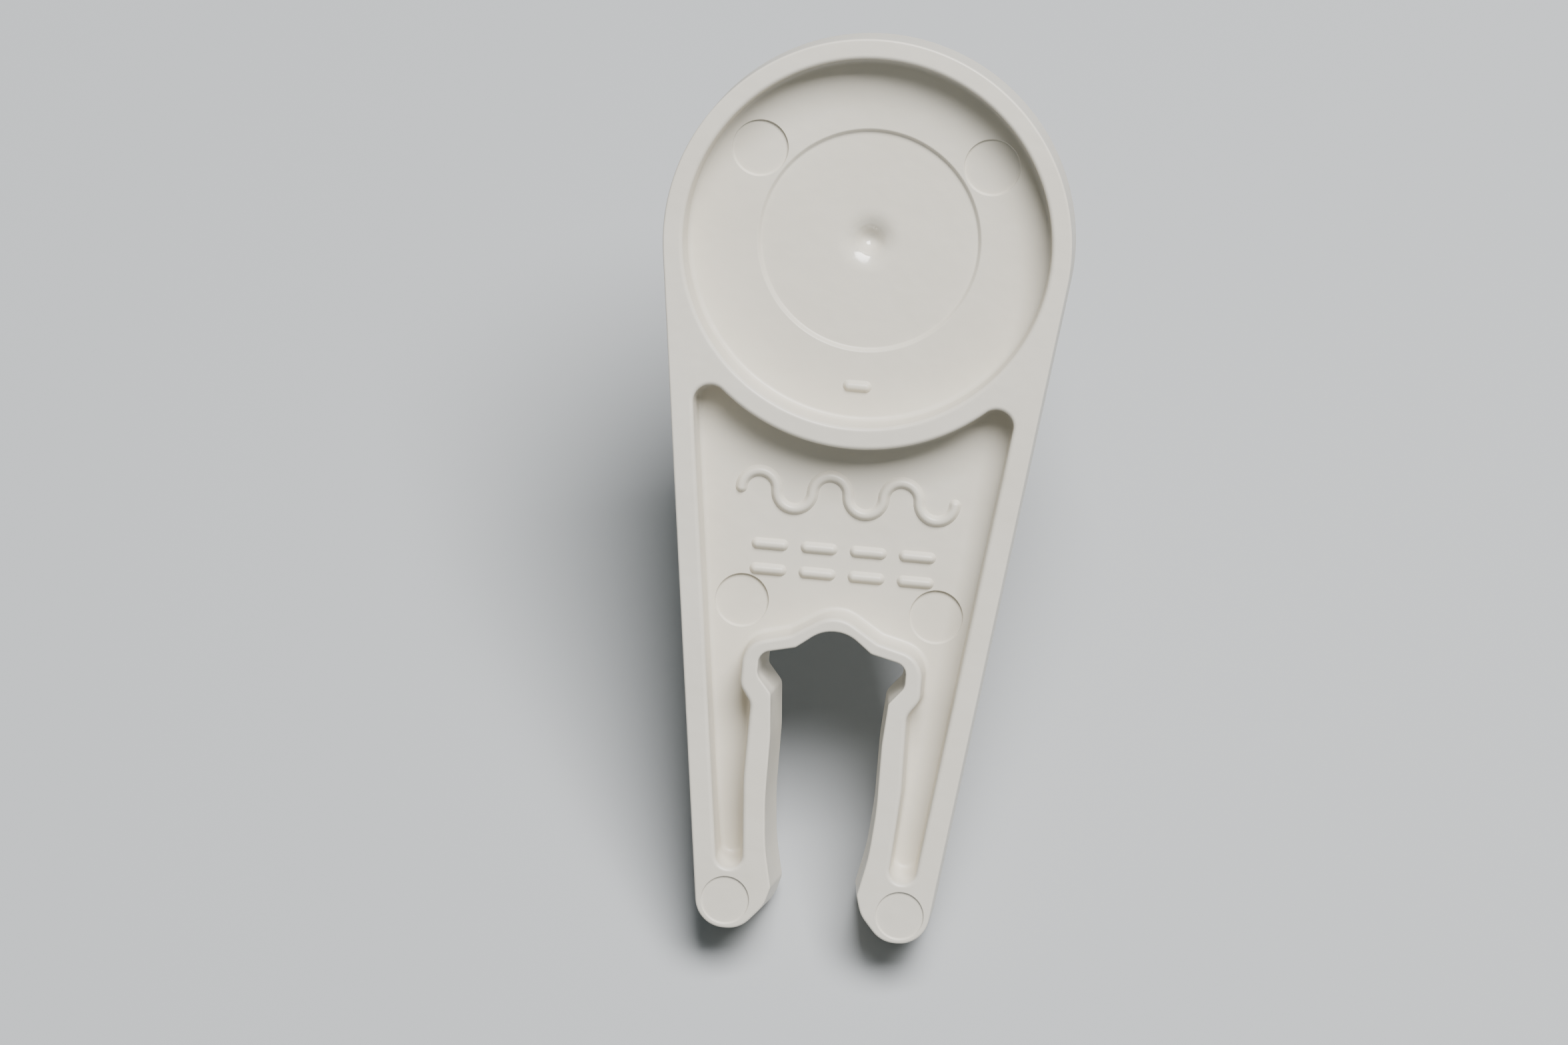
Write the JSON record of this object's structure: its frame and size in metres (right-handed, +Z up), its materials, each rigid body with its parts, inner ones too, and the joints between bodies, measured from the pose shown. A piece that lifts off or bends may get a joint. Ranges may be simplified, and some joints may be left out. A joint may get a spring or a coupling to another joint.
{
  "type": "clip-on spool holder",
  "caption": "Moulded clip-on spool holder: dished round rest, tapered arm with a lobed snap fork for a rod, and a spool post behind the rest.",
  "frame": {"origin": "centre of the footprint's bounding box, on the surface that the leg tips and the post's end lie on", "axes": "+Z up, +Y from the leg tips towards the rest and post, +X across the fork; the plate leans back from -Y, ribbed face up"},
  "size_m": [0.024, 0.0568, 0.0376],
  "materials": {
    "ivory_plastic": "satin moulded"
  },
  "bodies": {
    "holder": {"spool_rest": "ivory_plastic", "arm": "ivory_plastic", "spool_post": "ivory_plastic", "raised_marks": "ivory_plastic"},
    "left_leg": {"left_leg": "ivory_plastic"},
    "right_leg": {"right_leg": "ivory_plastic"}
  },
  "joints": [
    {"name": "left_leg_flex", "type": "hinge", "parent": "holder", "child": "left_leg", "pos_m": [-0.0088, -0.01482, 0.01185], "axis": [0, 0.6361, -0.7716], "range_deg": [0, 3], "stiffness_Nm_per_rad": 1},
    {"name": "right_leg_flex", "type": "hinge", "parent": "holder", "child": "right_leg", "pos_m": [0.0088, -0.01482, 0.01185], "axis": [0, -0.6361, 0.7716], "range_deg": [0, 3], "stiffness_Nm_per_rad": 1}
  ]
}
